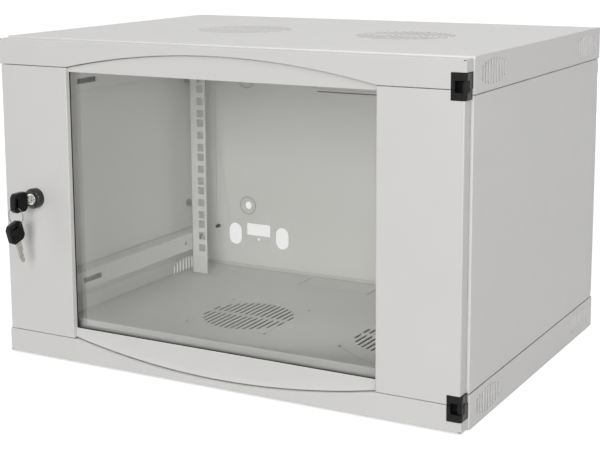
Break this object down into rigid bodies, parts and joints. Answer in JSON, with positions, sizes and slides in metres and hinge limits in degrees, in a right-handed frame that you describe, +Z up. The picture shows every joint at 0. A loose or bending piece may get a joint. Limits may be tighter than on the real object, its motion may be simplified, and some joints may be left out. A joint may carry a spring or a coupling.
{
  "type": "wall mount network cabinet",
  "caption": "Light grey wall mount network cabinet with a glazed door between arched rails, vented top and base, rack rails, a cam lock and keys.",
  "frame": {"origin": "centre of the four wall fixing holes, in the plane of the wall", "axes": "+Z up, +X to the right seen from the front, +Y out of the back of the cabinet into the wall; the door faces -Y"},
  "size_m": [0.54, 0.4481, 0.35],
  "materials": {
    "cabinet_paint": "satin light grey powder coat",
    "front_paint": "satin light grey powder coat",
    "hinge_plastic": "fine moulded black",
    "rivet_plastic": "black",
    "bow_plastic": "black",
    "zinc_steel": "bright zinc plate",
    "door_glass": "clear, polished",
    "gasket_rubber": "matt",
    "lock_black": "gloss black",
    "plug_chrome": "polished",
    "blade_nickel": "nickel plate",
    "ring_steel": "bright wire"
  },
  "bodies": {
    "cabinet": {"bottom_panel": "cabinet_paint", "top_panel": "cabinet_paint", "rear_panel": "cabinet_paint", "top_fascia": "front_paint", "bottom_fascia": "front_paint", "hinge_block_top": "hinge_plastic", "hinge_block_bottom": "hinge_plastic", "hinge_pin_top": "zinc_steel", "hinge_pin_bottom": "zinc_steel", "side_panel_left": "cabinet_paint", "front_post_left": "cabinet_paint", "rack_rail_left": "cabinet_paint", "push_rivet_left": "rivet_plastic", "earth_stud_left_low": "zinc_steel", "earth_stud_left_high": "zinc_steel", "depth_bar_left_top": "cabinet_paint", "rail_bolt_left_top": "zinc_steel", "rail_nut_left_top": "zinc_steel", "depth_bar_left_bottom": "cabinet_paint", "rail_bolt_left_bottom": "zinc_steel", "rail_nut_left_bottom": "zinc_steel", "side_panel_right": "cabinet_paint", "front_post_right": "cabinet_paint", "rack_rail_right": "cabinet_paint", "push_rivet_right": "rivet_plastic", "earth_stud_right_low": "zinc_steel", "earth_stud_right_high": "zinc_steel", "depth_bar_right_top": "cabinet_paint", "rail_bolt_right_top": "zinc_steel", "rail_nut_right_top": "zinc_steel", "depth_bar_right_bottom": "cabinet_paint", "rail_bolt_right_bottom": "zinc_steel", "rail_nut_right_bottom": "zinc_steel"},
    "door": {"door_stile_left": "front_paint", "door_stile_right": "front_paint", "door_rail_top": "front_paint", "door_rail_bottom": "front_paint", "door_glass": "door_glass", "glass_gasket": "gasket_rubber", "glass_retainer_left": "cabinet_paint", "glass_retainer_right": "cabinet_paint", "hinge_leaf_top": "hinge_plastic", "hinge_leaf_bottom": "hinge_plastic", "lock_housing": "lock_black", "lock_nut": "zinc_steel"},
    "lock_plug": {"lock_plug": "plug_chrome", "lock_cam": "zinc_steel", "cam_screw": "zinc_steel"},
    "key": {"key_bow": "bow_plastic", "key_blade": "blade_nickel"},
    "ring": {"key_ring": "ring_steel"},
    "spare_key": {"spare_bow": "bow_plastic", "spare_blade": "blade_nickel"}
  },
  "joints": [
    {"name": "door_hinge", "type": "hinge", "parent": "cabinet", "child": "door", "pos_m": [0.2655, -0.396, 0], "axis": [0, 0, 1], "range_deg": [0, 180]},
    {"name": "lock_turn", "type": "hinge", "parent": "door", "child": "lock_plug", "pos_m": [-0.2255, -0.409, -0.005], "axis": [0, 1, 0], "range_deg": [0, 90]},
    {"name": "key_slide", "type": "slide", "parent": "lock_plug", "child": "key", "axis": [0, -1, 0], "range_m": [0, 0.025]},
    {"name": "ring_swing", "type": "hinge", "parent": "key", "child": "ring", "pos_m": [-0.2255, -0.4338, -0.00913], "axis": [1, 0, 0], "range_deg": [-45, 10]},
    {"name": "spare_swing", "type": "hinge", "parent": "ring", "child": "spare_key", "pos_m": [-0.2255, -0.4338, -0.02873], "axis": [1, 0, 0], "range_deg": [-30, 12]}
  ]
}
